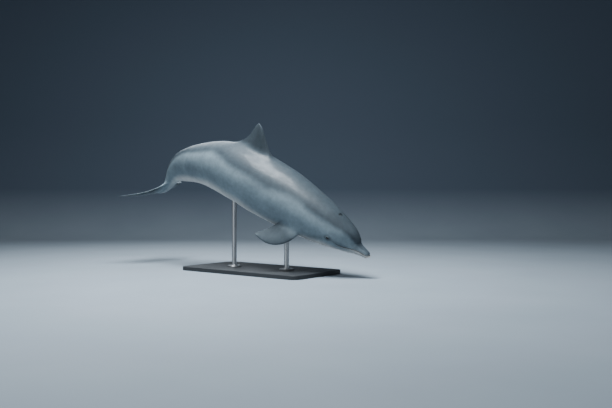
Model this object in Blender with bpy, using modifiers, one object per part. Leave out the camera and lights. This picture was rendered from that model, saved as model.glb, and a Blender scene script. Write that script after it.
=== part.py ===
"""A still, life-size bottlenose dolphin, diving and lightly banked, on a plain display stand.

The animal is one control cage: rings along a bent spine line, with the dorsal fin, flippers and flukes drawn out of it
loop by loop. Subdivision smooths it, and thin cuts part it into its named pieces. Metres, +Z up, the beak along +X,
the origin on the floor under the middle of the whole model's outer box.
"""

import math

import bmesh
import bpy
import numpy as np
from mathutils import Matrix, Vector

# Driving sizes of the animal, as distances along the spine line from the tip of the beak
LENGTH = 2.50
TIP_ROUND = 0.020
MOUTH_CORNER = 0.232
EYE_AT = 0.293
BLOWHOLE_AT = 0.318
BODY_CUTS = (0.440, 0.920, 1.560, 1.960)
FLIPPER_ROOT = (0.500, 0.680)
DORSAL_ROOT = (1.025, 1.370)
FLUKE_ROOT = (2.220, 2.492)

# Pose: the bank to the right, and the height of the beak tip over the floor
BANK = math.radians(12.5)
BEAK_TIP = Vector((1.1391, 0.1026, 0.165))

# The cage: columns from the top midline to the bottom one, those at the flipper's root with their angles from the top
HALF = 10
SIDE = HALF // 2
FLIPPER_COLUMN = 7
FLIPPER_COLUMNS = ((5, 84), (6, 104), (7, 117), (8, 130), (9, 154))

# distance from the beak tip, half width, height above the spine line, depth below it
STATIONS = (
    (0.000, 0.027, 0.014, 0.022),
    (0.030, 0.034, 0.019, 0.031),
    (0.070, 0.042, 0.027, 0.041),
    (0.091, 0.048, 0.035, 0.048),
    (0.104, 0.054, 0.051, 0.053),
    (0.118, 0.061, 0.070, 0.058),
    (0.135, 0.072, 0.085, 0.064),
    (0.160, 0.086, 0.102, 0.072),
    (0.200, 0.106, 0.117, 0.082),
    (0.270, 0.130, 0.138, 0.106),
    (0.350, 0.147, 0.160, 0.132),
    (0.460, 0.170, 0.186, 0.161),
    (0.620, 0.197, 0.209, 0.197),
    (0.840, 0.220, 0.231, 0.227),
    (1.080, 0.226, 0.231, 0.251),
    (1.300, 0.213, 0.226, 0.244),
    (1.400, 0.200, 0.221, 0.236),
    (1.500, 0.184, 0.208, 0.220),
    (1.700, 0.143, 0.169, 0.186),
    (1.880, 0.102, 0.139, 0.160),
    (2.010, 0.072, 0.116, 0.138),
    (2.120, 0.048, 0.083, 0.094),
    (2.200, 0.036, 0.058, 0.063),
    (2.280, 0.030, 0.044, 0.045),
    (2.370, 0.024, 0.029, 0.030),
    (2.450, 0.017, 0.012, 0.013),
    (2.500, 0.008, 0.003, 0.003),
)
# distance from the beak tip, nose-down pitch of the spine line in degrees
PITCH = (
    (0.00, 33.5),
    (0.30, 30.5),
    (0.80, 31.0),
    (1.10, 27.5),
    (1.40, 15.5),
    (1.65, 7.0),
    (1.86, -3.5),
    (1.98, -13.0),
    (2.08, -31.0),
    (2.17, -50.0),
    (2.24, -45.0),
    (2.33, -22.0),
    (2.42, -9.0),
    (2.50, -6.0),
)
# distance from the beak tip, and how sharp the section's top and bottom are: 1 is an ellipse
KEEL = (
    (0.00, 0.80),
    (0.11, 0.80),
    (0.16, 0.86),
    (0.30, 0.93),
    (0.60, 1.00),
    (1.30, 1.00),
    (1.70, 1.12),
    (2.10, 1.30),
    (2.30, 1.20),
    (2.50, 1.00),
)
# distance from the beak tip, height of the line of the mouth over the spine line
MOUTH = (
    (0.000, 0.000),
    (0.060, -0.001),
    (0.120, -0.006),
    (0.160, -0.012),
    (0.190, -0.015),
    (0.212, -0.014),
    (0.232, -0.009),
    (0.255, 0.000),
)
# The lips stand this far from the line of the mouth, which is this deep, and the lower jaw reaches past the upper one
LIP = 0.0065
MOUTH_DEPTH = 0.0075
JAW_REACH = 0.012
# How far back the crease between beak and melon sweeps as it runs down the sides
CREASE_SWEEP = 0.026

# Outlines of the fins: distance behind the front of the root, and distance out from it
DORSAL_EDGES = (
    ((0.000, 0.000), (0.048, 0.053), (0.090, 0.111), (0.123, 0.166), (0.148, 0.200), (0.172, 0.213)),
    ((0.345, 0.000), (0.282, 0.040), (0.242, 0.083), (0.218, 0.130), (0.203, 0.176), (0.181, 0.210)),
)
FLIPPER_EDGES = (
    ((0.000, 0.000), (0.014, 0.070), (0.050, 0.140), (0.112, 0.196), (0.200, 0.220), (0.294, 0.211)),
    ((0.180, 0.000), (0.205, 0.042), (0.226, 0.090), (0.252, 0.135), (0.288, 0.174), (0.301, 0.203)),
)
FLUKE_EDGES = (
    ((0.000, 0.000), (0.048, 0.078), (0.100, 0.155), (0.168, 0.233), (0.244, 0.290), (0.313, 0.316)),
    ((0.266, 0.000), (0.311, 0.036), (0.296, 0.114), (0.278, 0.192), (0.288, 0.260), (0.319, 0.309)),
)
# How far the flukes bend upward at a distance out from the root: this times its square
FLUKE_RISE = 0.42
# Where the loops of each fin stand between its root and its tip
DORSAL_SHARES = (0.10, 0.24, 0.42, 0.60, 0.78, 0.92, 1.0)
FLIPPER_SHARES = (0.09, 0.23, 0.40, 0.58, 0.76, 0.91, 1.0)
FLUKE_SHARES = (0.08, 0.20, 0.36, 0.54, 0.73, 0.90, 1.0)

# Head details
EYE_RADIUS = 0.0155
EYE_ANGLE = math.radians(88.5)
EYE_SUNK = 0.0128
LID_RADIUS = 0.0034
BLOWHOLE_HALF = 0.017
BLOWHOLE_BULGE = 0.012

# Cuts between the pieces
GAP = 0.0003
DORSAL_CUT = 0.014
FLIPPER_CUT = 0.034
FLUKE_CUT = 0.052

# Stand: a flat base with a steel rod under the chest and one under the belly, each let into the body
BASE_SIZE = (1.20, 0.60, 0.030)
BASE_MIDDLE = (0.19, 0.0)
BASE_CORNER = 0.07
BASE_EDGE = 0.004
ROD_RADIUS = 0.019
FLANGE_RADIUS = 0.055
FLANGE_HEIGHT = 0.010
ROD_AT = {"front": 0.80, "rear": 1.36}
ROD_DEPTH = 0.050

# Base colour, roughness and metallic value of each material
LOOKS = {
    "skin": ((0.150, 0.190, 0.215, 1.0), 0.35, 0.0),
    "eye": ((0.020, 0.014, 0.012, 1.0), 0.10, 0.0),
    "rod_steel": ((0.560, 0.565, 0.570, 1.0), 0.32, 1.0),
    "base_coat": ((0.040, 0.042, 0.046, 1.0), 0.45, 0.0),
}


def smooth_curve(knots):
    """A monotone cubic through (x, y) knots, as a function of x."""
    x, y = (np.array(v, float) for v in zip(*knots))
    h, d = np.diff(x), np.diff(y) / np.diff(x)
    m = np.zeros(len(x))
    same = d[:-1] * d[1:] > 0
    w1, w2 = (2 * h[1:] + h[:-1])[same], (h[1:] + 2 * h[:-1])[same]
    m[1:-1][same] = (w1 + w2) / (w1 / d[:-1][same] + w2 / d[1:][same])
    m[0], m[-1] = d[0], d[-1]

    def at(q):
        q = np.clip(q, x[0], x[-1])
        i = np.clip(np.searchsorted(x, q) - 1, 0, len(h) - 1)
        t = (q - x[i]) / h[i]
        start = (1 + 2 * t) * (1 - t) ** 2 * y[i] + t * (1 - t) ** 2 * h[i] * m[i]
        return start + t * t * (3 - 2 * t) * y[i + 1] + t * t * (t - 1) * h[i] * m[i + 1]

    return at


half_width = smooth_curve([s[:2] for s in STATIONS])
top_height = smooth_curve([(s[0], s[2]) for s in STATIONS])
bottom_depth = smooth_curve([(s[0], s[3]) for s in STATIONS])
pitch_at = smooth_curve(PITCH)
keel_at = smooth_curve(KEEL)
mouth_at = smooth_curve(MOUTH)


def fade(value, start, end):
    """0 up to start, 1 from end, smooth between them."""
    t = min(1.0, max(0.0, (value - start) / (end - start)))
    return t * t * (3 - 2 * t)


def walk_spine():
    """The spine line's points at every millimetre, in its own upright plane, from its pitch."""
    s = np.linspace(0, LENGTH, round(LENGTH * 1000) + 1)
    middle = np.radians(pitch_at((s[1:] + s[:-1]) / 2))
    step = np.diff(s)
    x = np.concatenate([[0], np.cumsum(-np.cos(middle) * step)])
    z = np.concatenate([[0], np.cumsum(np.sin(middle) * step)])
    return s, x, z


SPINE = walk_spine()
POSE = Matrix.Translation(BEAK_TIP) @ Matrix.Rotation(BANK, 4, "X")


def spine(s):
    """Point, backward direction and up direction of the spine line. It runs straight on past its end."""
    distance, x, z = SPINE
    pitch = math.radians(float(pitch_at(s)))
    back = Vector((-math.cos(pitch), 0, math.sin(pitch)))
    up = Vector((math.sin(pitch), 0, math.cos(pitch)))
    point = Vector((np.interp(s, distance, x), 0, np.interp(s, distance, z)))
    return point + back * max(0.0, s - LENGTH), back, up


def mouth_angle(s):
    """Angle round the section, from its top, of the line of the mouth."""
    height = float(mouth_at(s))
    reach = float(top_height(s) if height > 0 else bottom_depth(s))
    return math.acos(height / reach)


def column_angles(s):
    """Angles of the cage's columns from the top midline to the bottom one."""
    even = math.pi / HALF
    away = fade(s, MOUTH_CORNER, MOUTH_CORNER + 0.14)
    mouth = mouth_angle(s) * (1 - away) + math.pi / 2 * away
    reach = (float(top_height(s)) + float(bottom_depth(s))) / 2
    lip = min(even, LIP / reach) * (1 - away) + even * away
    in_fin = fade(s, 0.98, DORSAL_ROOT[0]) * (1 - fade(s, DORSAL_ROOT[1], 1.60))
    first = even * (1 - 0.42 * in_fin)
    anchors = [(0, 0), (SIDE - 1, mouth - lip), (SIDE, mouth), (SIDE + 1, mouth + lip), (HALF, math.pi)]
    if in_fin > 0:
        anchors.insert(1, (1, first))
    angles = np.interp(range(HALF + 1), *zip(*anchors))
    in_flipper = fade(s, MOUTH_CORNER, FLIPPER_ROOT[0]) * (1 - fade(s, FLIPPER_ROOT[1], 0.90))
    for column, angle in FLIPPER_COLUMNS:
        angles[column] += (math.radians(angle) - angles[column]) * in_flipper
    return angles


def section_point(s, angle, grow=0.0):
    """Sideways and upward offsets of the skin from the spine line, angle 0 at the top and to the left."""
    side, up = math.sin(angle), math.cos(angle)
    width = float(half_width(s)) + grow
    reach = float(top_height(s) if up > 0 else bottom_depth(s)) + grow
    return width * math.copysign(abs(side) ** float(keel_at(s)), side), reach * up


def ring(s):
    """One ring of the cage, counted from the top midline down the left side and up the right one."""
    point, back, up = spine(s)
    facing = 1 - min(s / TIP_ROUND, 1.0)
    rounding = math.sqrt(1 - facing**2)
    mouth_open = 1 - fade(s, MOUTH_CORNER - 0.035, MOUTH_CORNER)
    left = []
    for column, angle in enumerate(column_angles(s)):
        grow, sunk = 0.0, 0.0
        if column == SIDE:
            depth = MOUTH_DEPTH * mouth_open * (0.35 + 0.65 * fade(s, 0.0, 0.05))
            grow, sunk = -depth * rounding, depth * facing
        elif abs(column - SIDE) == 1:
            grow = 0.0012 * mouth_open * rounding
        y, z = section_point(s, angle, grow)
        under_mouth = (float(mouth_at(s)) - z) * rounding
        shift = JAW_REACH * fade(under_mouth, 0.0, 0.004) * (1 - fade(s, 0.0, 0.10)) - sunk
        flank = fade(angle, 0.35, 1.05) * (1 - fade(angle, 1.10, mouth_angle(s) - 0.05))
        shift -= CREASE_SWEEP * flank * fade(s, 0.040, 0.104) * (1 - fade(s, 0.140, 0.250))
        left.append((y * rounding, z * rounding, shift))
    right = [(-y, z, shift) for y, z, shift in left[-2:0:-1]]
    return [point + Vector((0, y, 0)) + up * z - back * shift for y, z, shift in left + right]


def ring_distances():
    """Where the rings stand along the spine line, close together where the shape turns or a fin grows."""
    tip = [TIP_ROUND * (1 - math.cos(math.radians(a))) for a in (24, 47, 69)]
    runs = (
        (TIP_ROUND, 0.086, 4),
        (0.086, 0.146, 5),
        (0.146, 0.440, 9),
        (0.440, FLIPPER_ROOT[0], 1),
        (FLIPPER_ROOT[0], FLIPPER_ROOT[1], 5),
        (FLIPPER_ROOT[1], DORSAL_ROOT[0], 3),
        (DORSAL_ROOT[0], DORSAL_ROOT[1], 6),
        (DORSAL_ROOT[1], FLUKE_ROOT[0], 9),
        (FLUKE_ROOT[0], FLUKE_ROOT[1], 5),
    )
    steps = [s for start, end, count in runs for s in np.linspace(start, end, count, endpoint=False)]
    return tip + steps + [FLUKE_ROOT[1]]


class Cage:
    """Points and faces of the animal's control cage, in the spine's own upright plane."""

    def __init__(self):
        self.distances = ring_distances()
        self.points = [p for s in self.distances for p in ring(s)]
        self.around = 2 * HALF
        self.faces = {}
        for row in range(len(self.distances) - 1):
            for column in range(self.around):
                self.faces[row, column] = (
                    self.index(row, column),
                    self.index(row, column + 1),
                    self.index(row + 1, column + 1),
                    self.index(row + 1, column),
                )
        self.extra = []
        self.close_beak()
        self.close_tail()

    def index(self, row, column):
        return row * self.around + column % self.around

    def row_at(self, s):
        return int(np.argmin(np.abs(np.array(self.distances) - s)))

    def close_beak(self):
        """Fills the first ring with faces from side to side, so that the line of the mouth runs round the front."""
        back = spine(0.0)[1]
        facing = 1 - self.distances[0] / TIP_ROUND
        rounding = math.sqrt(1 - facing**2)
        angles = column_angles(self.distances[0])
        middle = {}
        for column in range(1, HALF):
            share = rounding * math.cos(angles[column])
            halfway = (self.points[column] + self.points[self.around - column]) / 2
            middle[column] = len(self.points)
            self.points.append(halfway - back * TIP_ROUND * (math.sqrt(1 - share**2) - facing))
        self.extra.append((1, 0, self.around - 1, middle[1]))
        for column in range(1, HALF - 1):
            mirror = self.around - column
            self.extra.append((column + 1, column, middle[column], middle[column + 1]))
            self.extra.append((mirror, mirror - 1, middle[column + 1], middle[column]))
        self.extra.append((HALF + 1, HALF, HALF - 1, middle[HALF - 1]))

    def close_tail(self):
        last, pole = len(self.distances) - 1, len(self.points)
        self.points.append(spine(LENGTH)[0])
        for column in range(self.around):
            self.extra.append((self.index(last, column), self.index(last, column + 1), pole))

    def grow_fin(self, root, column, loops):
        """Draws a fin out of the two face columns beside a cage column, between two root rows.

        loops(count) gives the points of each outward loop: the front edge, count points down one side, the rear edge
        and as many back up the other side.
        """
        first, last = self.row_at(root[0]), self.row_at(root[1])
        for row in range(first, last):
            for beside in (column - 1, column):
                del self.faces[row, beside % self.around]
        rows = range(first, last + 1)
        loop = [self.index(first, column)] + [self.index(row, column + 1) for row in rows]
        loop += [self.index(last, column)] + [self.index(row, column - 1) for row in reversed(rows)]
        count = len(rows)
        for points in loops(count):
            start = len(self.points)
            self.points.extend(points)
            outer = list(range(start, start + len(points)))
            for k in range(len(loop)):
                n = (k + 1) % len(loop)
                self.extra.append((loop[k], loop[n], outer[n], outer[k]))
            loop = outer
        side_a, side_b = loop[1 : count + 1], loop[: count + 1 : -1]
        self.extra.append((loop[0], side_a[0], side_b[0]))
        for k in range(count - 1):
            self.extra.append((side_a[k], side_a[k + 1], side_b[k + 1], side_b[k]))
        self.extra.append((loop[count + 1], side_b[-1], side_a[-1]))

    def mesh_object(self, name, level):
        mesh = bpy.data.meshes.new(name)
        mesh.from_pydata(self.points, [], list(self.faces.values()) + self.extra)
        made = new_object(name, mesh)
        smooth = made.modifiers.new("smooth", "SUBSURF")
        smooth.levels = smooth.render_levels = level
        return made


def edge_curve(points):
    """A smooth curve through an edge's points, as a function of its share from root to tip."""
    share = np.linspace(0, 1, len(points))
    along, out = (smooth_curve(list(zip(share, values))) for values in zip(*points))
    return lambda h: (float(along(h)), float(out(h)))


def fin_loops(edges, shares, thickness, place):
    """Loops of a fin: each a slim, round-nosed section between its front and rear edges.

    place(along, out, off) puts a point of the outline, off to one side, in the spine's plane.
    """
    front_edge, rear_edge = (edge_curve(points) for points in edges)

    def loops(count):
        chordwise = 0.045 + 0.91 * np.linspace(0, 1, count)
        for h in shares:
            front, rear = np.array(front_edge(h)), np.array(rear_edge(h))
            half = thickness(h) / 2
            body = (chordwise / 0.3) ** 0.5 * ((1 - chordwise) / 0.7) ** 1.17
            sides = [front + (rear - front) * c for c in chordwise]
            yield (
                [place(*front, 0.0)]
                + [place(*p, half * b) for p, b in zip(sides, body)]
                + [place(*rear, 0.0)]
                + [place(*p, -half * b) for p, b in zip(sides[::-1], body[::-1])]
            )

    return loops


def dorsal_fin(cage):
    middle = sum(DORSAL_ROOT) / 2
    up = spine(middle)[2]

    def place(along, out, off):
        s = DORSAL_ROOT[0] + along
        point, _, local_up = spine(s)
        return point + local_up * float(top_height(s)) + up * out + Vector((0, off, 0))

    cage.grow_fin(DORSAL_ROOT, 0, fin_loops(DORSAL_EDGES, DORSAL_SHARES, lambda h: 0.056 - 0.048 * h, place))


def flipper_frame():
    """Root point, chord direction, outward direction and facing of the left flipper."""
    front = FLIPPER_ROOT[0]
    point, back, up = spine(front)
    y, z = section_point(front, math.radians(dict(FLIPPER_COLUMNS)[FLIPPER_COLUMN]))
    outward = (Vector((0, 1, 0)) * 0.62 - up * 0.78).normalized()
    return point + up * z + Vector((0, y, 0)), back, outward, back.cross(outward)


def mirrored(point, side):
    return Vector((point.x, point.y * side, point.z))


def flipper(cage, side):
    """side is 1 for the left flipper and -1 for the right one."""
    root, chord, outward, facing = flipper_frame()

    def place(along, out, off):
        return mirrored(root + chord * along + outward * (out - 0.008) + facing * (side * off), side)

    loops = fin_loops(FLIPPER_EDGES, FLIPPER_SHARES, lambda h: 0.044 - 0.036 * h, place)
    cage.grow_fin(FLIPPER_ROOT, side * FLIPPER_COLUMN, loops)


def fluke(cage, side):
    """side is 1 for the left fluke and -1 for the right one."""
    root_width = float(half_width(FLUKE_ROOT[0]))

    def place(along, out, off):
        point, _, up = spine(FLUKE_ROOT[0] + along)
        reach = root_width + out
        return mirrored(point + Vector((0, reach, 0)) + up * (FLUKE_RISE * out * out - side * off), side)

    loops = fin_loops(FLUKE_EDGES, FLUKE_SHARES, lambda h: 0.040 - 0.034 * h, place)
    cage.grow_fin(FLUKE_ROOT, side * SIDE, loops)


def build_cage():
    cage = Cage()
    dorsal_fin(cage)
    for side in (1, -1):
        flipper(cage, side)
        fluke(cage, side)
    return cage


def new_object(name, data, collection="bottlenose_dolphin", parent="pose"):
    """Links a new object, placed in the animal's own frame unless parent is None."""
    made = bpy.data.objects.new(name, data)
    bpy.data.collections[collection].objects.link(made)
    if parent:
        made.parent = bpy.data.objects[parent]
    return made


def mesh_from(name, build):
    """A mesh made by a function that fills a bmesh."""
    shape = bmesh.new()
    build(shape)
    mesh = bpy.data.meshes.new(name)
    shape.to_mesh(mesh)
    shape.free()
    return mesh


def applied_mesh(thing):
    """The object's mesh with its modifiers applied."""
    graph = bpy.context.evaluated_depsgraph_get()
    return bpy.data.meshes.new_from_object(thing.evaluated_get(graph))


def sheet(name, line, reach, side=Vector((0, 1, 0))):
    """A cutter as thick as the gap between pieces, drawn out to both sides of a line of points."""

    def build(shape):
        rails = [[shape.verts.new(p + side * edge) for p in line] for edge in (-reach, reach)]
        for k in range(len(line) - 1):
            shape.faces.new((rails[0][k], rails[0][k + 1], rails[1][k + 1], rails[1][k]))

    made = new_object(name, mesh_from(name, build), "cutters")
    thick = made.modifiers.new("thickness", "SOLIDIFY")
    thick.thickness = GAP
    thick.offset = 0.0
    return made


def tube(name, line, radii):
    """A closed mesh object: a tapering tube along a line of points."""
    curve = bpy.data.curves.new(name, "CURVE")
    curve.dimensions = "3D"
    curve.bevel_depth = 1.0
    curve.bevel_resolution = 2
    curve.use_fill_caps = True
    spline = curve.splines.new("POLY")
    spline.points.add(len(line) - 1)
    for point, place, radius in zip(spline.points, line, radii):
        point.co = (*place, 1.0)
        point.radius = radius
    guide = new_object(name + "_line", curve, "cutters")
    mesh = applied_mesh(guide)
    bpy.data.objects.remove(guide)
    shape = bmesh.new()
    shape.from_mesh(mesh)
    bmesh.ops.remove_doubles(shape, verts=shape.verts, dist=0.00001)
    bmesh.ops.recalc_face_normals(shape, faces=shape.faces)
    shape.to_mesh(mesh)
    shape.free()
    return new_object(name, mesh, "cutters")


def cylinder(name, radius, height, place, collection):
    """An upright cylinder in the world, from its foot's middle."""

    def build(shape):
        bmesh.ops.create_cone(shape, cap_ends=True, segments=24, radius1=radius, radius2=radius, depth=height)
        bmesh.ops.translate(shape, verts=shape.verts, vec=(0, 0, height / 2))

    made = new_object(name, mesh_from(name, build), collection, parent=None)
    made.location = place
    return made


def skin_frame(s, angle):
    """Point of the left skin with its outward, backward and upward directions."""

    def at(s, angle):
        point, _, up = spine(s)
        y, z = section_point(s, angle)
        return point + up * z + Vector((0, y, 0))

    back = (at(s + 0.004, angle) - at(s - 0.004, angle)).normalized()
    upward = (at(s, angle - 0.03) - at(s, angle + 0.03)).normalized()
    outward = back.cross(upward).normalized()
    return at(s, angle), outward, back, outward.cross(back)


def eye_frame(side):
    """Centre of the eyeball with its outward, backward and upward directions."""
    point, outward, back, upward = (mirrored(v, side) for v in skin_frame(EYE_AT, EYE_ANGLE))
    return point - outward * EYE_SUNK, outward, back, upward


def eyeball(name, side, radius, collection):
    """A sphere whose pole looks outward."""

    def build(shape):
        bmesh.ops.create_uvsphere(shape, u_segments=14, v_segments=10, radius=radius)

    middle, outward, _, upward = eye_frame(side)
    made = new_object(name, mesh_from(name, build), collection)
    made.location = middle
    made.rotation_euler = Matrix((upward.cross(outward), upward, outward)).transposed().to_euler()
    return made


def lids(side):
    """The upper and the lower lid: bent folds that lie on the eyeball and run out at its corners."""
    middle, outward, back, upward = eye_frame(side)
    made = []
    for name, height in (("upper", 0.0080), ("lower", -0.0074)):
        line, radii = [], []
        for t in np.linspace(-1.12, 1.12, 9):
            bow = 1 - t * t
            out = 0.0112 + 0.0034 * max(bow, -0.3)
            line.append(middle + back * 0.0185 * t + upward * (height * bow - 0.0012 * t) + outward * out)
            radii.append(max(0.0010, LID_RADIUS * (0.35 + 0.65 * max(bow, 0.0) ** 0.7)))
        made.append(tube(f"lid_{name}_{side}", line, radii))
    return made


def blowhole():
    """The cutter of the crescent-shaped nostril on top of the head, its ends pointing to the beak."""
    line, radii = [], []
    for t in np.linspace(-1.15, 1.15, 11):
        s = BLOWHOLE_AT + BLOWHOLE_BULGE * (1 - t * t)
        point, _, up = spine(s)
        y = BLOWHOLE_HALF * t
        reach = float(top_height(s)) * math.sqrt(1 - (y / float(half_width(s))) ** 2)
        line.append(point + Vector((0, y, 0)) + up * (reach - 0.0026 + 0.0022 * t * t))
        radii.append(0.0034 - 0.0018 * abs(t))
    return tube("blowhole", line, radii)


def jaw_line():
    """The line of the cut between head and lower jaw: along the mouth, then down through the throat."""
    tip, back, up = spine(0.0)
    line = [tip - back * 0.04 + up * float(mouth_at(0.0))]
    for s in np.linspace(0.0, MOUTH_CORNER - 0.007, 24):
        point, _, up = spine(s)
        line.append(point + up * float(mouth_at(s)))
    for behind, height in ((0.003, -0.015), (0.013, -0.031), (0.022, -0.058), (0.028, -0.098), (0.032, -0.190)):
        point, _, up = spine(MOUTH_CORNER + behind)
        line.append(point + up * height)
    return line


def body_cutters():
    """Thin sheets that part the animal into its pieces."""
    made = [sheet("cut_jaw", jaw_line(), 0.25)]
    for k, s in enumerate(BODY_CUTS):
        point, _, up = spine(s)
        made.append(sheet(f"cut_body_{k}", (point - up * 0.30, point, point + up * 0.27), 0.30))
    line = []
    for s in np.linspace(DORSAL_ROOT[0] - 0.03, DORSAL_ROOT[1] + 0.06, 12):
        point, _, up = spine(s)
        line.append(point + up * (float(top_height(s)) + DORSAL_CUT))
    made.append(sheet("cut_dorsal", line, 0.09))
    root, chord, outward, facing = flipper_frame()
    for side in (1, -1):
        at = root + outward * FLIPPER_CUT
        ends = [mirrored(at + chord * along, side) for along in (-0.06, 0.29)]
        made.append(sheet(f"cut_flipper_{side}", ends, 0.07, mirrored(facing, side)))
        near, far = (spine(FLUKE_ROOT[0] + along)[0] for along in (-0.08, 0.33))
        ends = [p + Vector((0, side * FLUKE_CUT, 0)) for p in (near, far)]
        made.append(sheet(f"cut_fluke_{side}", ends, 0.10, Vector((0, 0, 1))))
    return made


def rod_foot(name):
    """World point on the base's top straight under the body's middle line."""
    middle = POSE @ spine(ROD_AT[name])[0]
    return Vector((middle.x, middle.y, BASE_SIZE[2] + GAP))


def rod_length(name):
    """Length of a rod from the base's top to its end inside the body."""
    s = ROD_AT[name]
    middle = POSE @ spine(s)[0]
    belly = middle.z - float(bottom_depth(s)) / spine(s)[2].z
    return belly + ROD_DEPTH - rod_foot(name).z


def boolean(target, cutters, operation):
    """Applies an exact Boolean of target with all the cutters and removes them."""
    group = bpy.data.collections.new(operation.lower())
    bpy.context.scene.collection.children.link(group)
    for cutter in cutters:
        group.objects.link(cutter)
        cutter.hide_render = True
        cutter.display_type = "WIRE"
    step = target.modifiers.new(operation.lower(), "BOOLEAN")
    step.operation = operation
    step.operand_type = "COLLECTION"
    step.solver = "EXACT"
    step.collection = group
    target.data = applied_mesh(target)
    target.modifiers.clear()
    for cutter in cutters:
        bpy.data.objects.remove(cutter)
    bpy.data.collections.remove(group)


def piece_seeds():
    """A point near the middle of each piece of the body."""

    def inside(s, height=0.0):
        point, _, up = spine(s)
        return point + up * height

    root, chord, outward, _ = flipper_frame()
    fluke_middle = spine(FLUKE_ROOT[0] + 0.16)[0] + Vector((0, 0.17, 0))
    seeds = {
        "head": inside(0.27, 0.05),
        "lower_jaw": inside(0.13, -0.045),
        "chest": inside(0.68),
        "trunk": inside(1.20),
        "dorsal_fin": inside(1.20, 0.31),
        "tail_stock_front": inside(1.76),
        "tail_stock_rear": inside(2.25),
    }
    for name, side in (("left", 1), ("right", -1)):
        seeds[f"flipper_{name}"] = mirrored(root + chord * 0.16 + outward * 0.12, side)
        seeds[f"fluke_{name}"] = mirrored(fluke_middle, side)
    return seeds


def divide(animal):
    """Parts the cut animal into named objects, each the largest closed surface at its place."""
    seeds = piece_seeds()
    animal.select_set(True)
    bpy.context.view_layer.objects.active = animal
    bpy.ops.mesh.separate(type="LOOSE")
    found = {}
    for piece in list(bpy.context.selected_objects):
        middle = sum((face.center for face in piece.data.polygons), Vector()) / len(piece.data.polygons)
        name = min(seeds, key=lambda key: (seeds[key] - middle).length)
        rival = found.get(name)
        if rival and len(rival.data.polygons) >= len(piece.data.polygons):
            bpy.data.objects.remove(piece)
            continue
        if rival:
            bpy.data.objects.remove(rival)
        found[name] = piece
    for name, piece in found.items():
        piece.name = name


def stand():
    """The base with its rounded corners and eased edges, and two rods, each with a flange at its foot."""

    def build(shape):
        bmesh.ops.create_cube(shape, size=1.0)
        bmesh.ops.scale(shape, verts=shape.verts, vec=BASE_SIZE)
        upright = [edge for edge in shape.edges if abs(edge.verts[0].co.z - edge.verts[1].co.z) > BASE_SIZE[2] / 2]
        bmesh.ops.bevel(shape, geom=upright, offset=BASE_CORNER, segments=8, profile=0.5, affect="EDGES")

    base = new_object("stand_base", mesh_from("stand_base", build), parent=None)
    base.location = (*BASE_MIDDLE, BASE_SIZE[2] / 2)
    eased = base.modifiers.new("eased_edges", "BEVEL")
    eased.width = BASE_EDGE
    eased.segments = 2
    eased.limit_method = "ANGLE"
    eased.angle_limit = math.radians(60)
    for name in ROD_AT:
        foot = rod_foot(name)
        upright = cylinder(f"stand_rod_{name}", ROD_RADIUS, rod_length(name), foot, "bottlenose_dolphin")
        flange = cylinder("flange", FLANGE_RADIUS, FLANGE_HEIGHT, foot, "cutters")
        boolean(upright, [flange], "UNION")


def new_material(name):
    colour, roughness, metallic = LOOKS[name]
    made = bpy.data.materials.new(name)
    made.use_nodes = True
    shader = made.node_tree.nodes["Principled BSDF"]
    shader.inputs["Base Color"].default_value = colour
    shader.inputs["Roughness"].default_value = roughness
    shader.inputs["Metallic"].default_value = metallic
    return made


def finish():
    """Gives each piece its material and its shading."""
    coats = {name: new_material(name) for name in LOOKS}
    for piece in bpy.data.collections["bottlenose_dolphin"].objects:
        if piece.type != "MESH":
            continue
        kind = "skin"
        if piece.name.startswith("eye_"):
            kind = "eye"
        elif piece.name.startswith("stand_rod"):
            kind = "rod_steel"
        elif piece.name == "stand_base":
            kind = "base_coat"
        piece.data.materials.clear()
        piece.data.materials.append(coats[kind])
        piece.data.shade_smooth()
        piece.data.set_sharp_from_angle(angle=math.radians(40))


def main():
    for old in list(bpy.data.objects):
        bpy.data.objects.remove(old)
    for name in ("bottlenose_dolphin", "cutters"):
        bpy.context.scene.collection.children.link(bpy.data.collections.new(name))
    pose = new_object("pose", None, parent=None)
    pose.location = BEAK_TIP
    pose.rotation_euler = (BANK, 0, 0)

    animal = build_cage().mesh_object("animal", level=1)
    bpy.context.view_layer.update()
    animal.data = applied_mesh(animal)
    animal.modifiers.clear()
    boolean(animal, [lid for side in (1, -1) for lid in lids(side)], "UNION")
    cutters = body_cutters() + [blowhole()]
    for side, name in ((1, "left"), (-1, "right")):
        cutters.append(eyeball(f"socket_{name}", side, EYE_RADIUS + GAP, "cutters"))
        eyeball(f"eye_{name}", side, EYE_RADIUS, "bottlenose_dolphin")
    for name in ROD_AT:
        foot = rod_foot(name)
        cutters.append(cylinder(f"rod_hole_{name}", ROD_RADIUS + GAP, rod_length(name) + GAP, foot, "cutters"))
    boolean(animal, cutters, "DIFFERENCE")
    divide(animal)
    stand()
    finish()


main()
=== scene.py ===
"""The look of the dolphin: one seamless skin, its eyes, its stand, and the floor, lights and camera."""

from math import acos, copysign, cos, pi, radians, sin, sqrt

import bmesh
import bpy
import numpy as np
from mathutils import Matrix, Vector


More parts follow.
